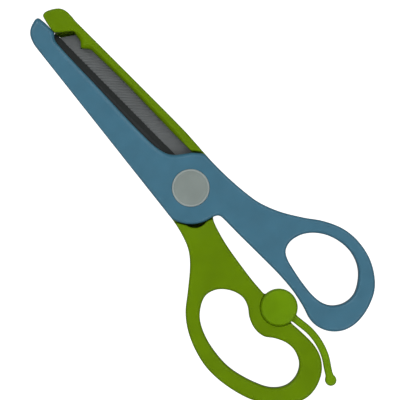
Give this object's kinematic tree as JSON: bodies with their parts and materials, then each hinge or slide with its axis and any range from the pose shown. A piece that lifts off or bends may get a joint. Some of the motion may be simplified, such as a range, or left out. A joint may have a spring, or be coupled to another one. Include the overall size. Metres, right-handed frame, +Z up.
{
  "type": "decorative edge scissors",
  "caption": "Children's craft scissors lying flat: moulded halves with let-in steel blades, a capped pivot, a thumb loop, a bean-shaped finger loop and a fold-away spring lever.",
  "frame": {"origin": "on the pivot axis, in the plane that the closed scissors lie on", "axes": "+Y along the blades to the tips, +X to the spine of the lower (green) half, +Z up out of the capped side"},
  "size_m": [0.0561, 0.1341, 0.0091],
  "materials": {
    "blue_plastic": "moulded, satin, slightly soft sheen",
    "green_plastic": "moulded, satin",
    "lever_plastic": "moulded, satin, a lighter green",
    "grey_plastic": "moulded, matt",
    "blade_steel": "ground stainless steel",
    "blade_steel_shaded": "ground stainless steel with a darker, coarser bevel",
    "plain_steel": "plain bright steel",
    "bush_brass": "turned",
    "washer_nylon": "natural nylon"
  },
  "bodies": {
    "lower_half": {"lower_body": "green_plastic", "lower_blade": "blade_steel", "pivot_bush": "bush_brass", "friction_washer": "washer_nylon", "back_cap": "grey_plastic", "lever_post": "plain_steel", "lever_washer": "washer_nylon", "lever_retainer": "plain_steel"},
    "upper_half": {"upper_body": "blue_plastic", "upper_blade": "blade_steel_shaded", "pivot_cap": "grey_plastic", "pivot_screw": "plain_steel", "spring_washer": "plain_steel", "pivot_nut": "plain_steel"},
    "lever": {"spring_lever": "lever_plastic", "lever_button": "lever_plastic"}
  },
  "joints": [
    {"name": "blade_pivot", "type": "hinge", "parent": "lower_half", "child": "upper_half", "pos_m": [0, 0, 0.004], "axis": [0, 0, 1], "range_deg": [0, 45]},
    {"name": "lever_pivot", "type": "hinge", "parent": "lower_half", "child": "lever", "pos_m": [-0.0037, -0.042, 0.0065], "axis": [0, 0, 1], "range_deg": [0, 90]}
  ],
  "couplings": [
    {"joint": "lever_pivot", "follows": "blade_pivot", "ratio": 2}
  ]
}
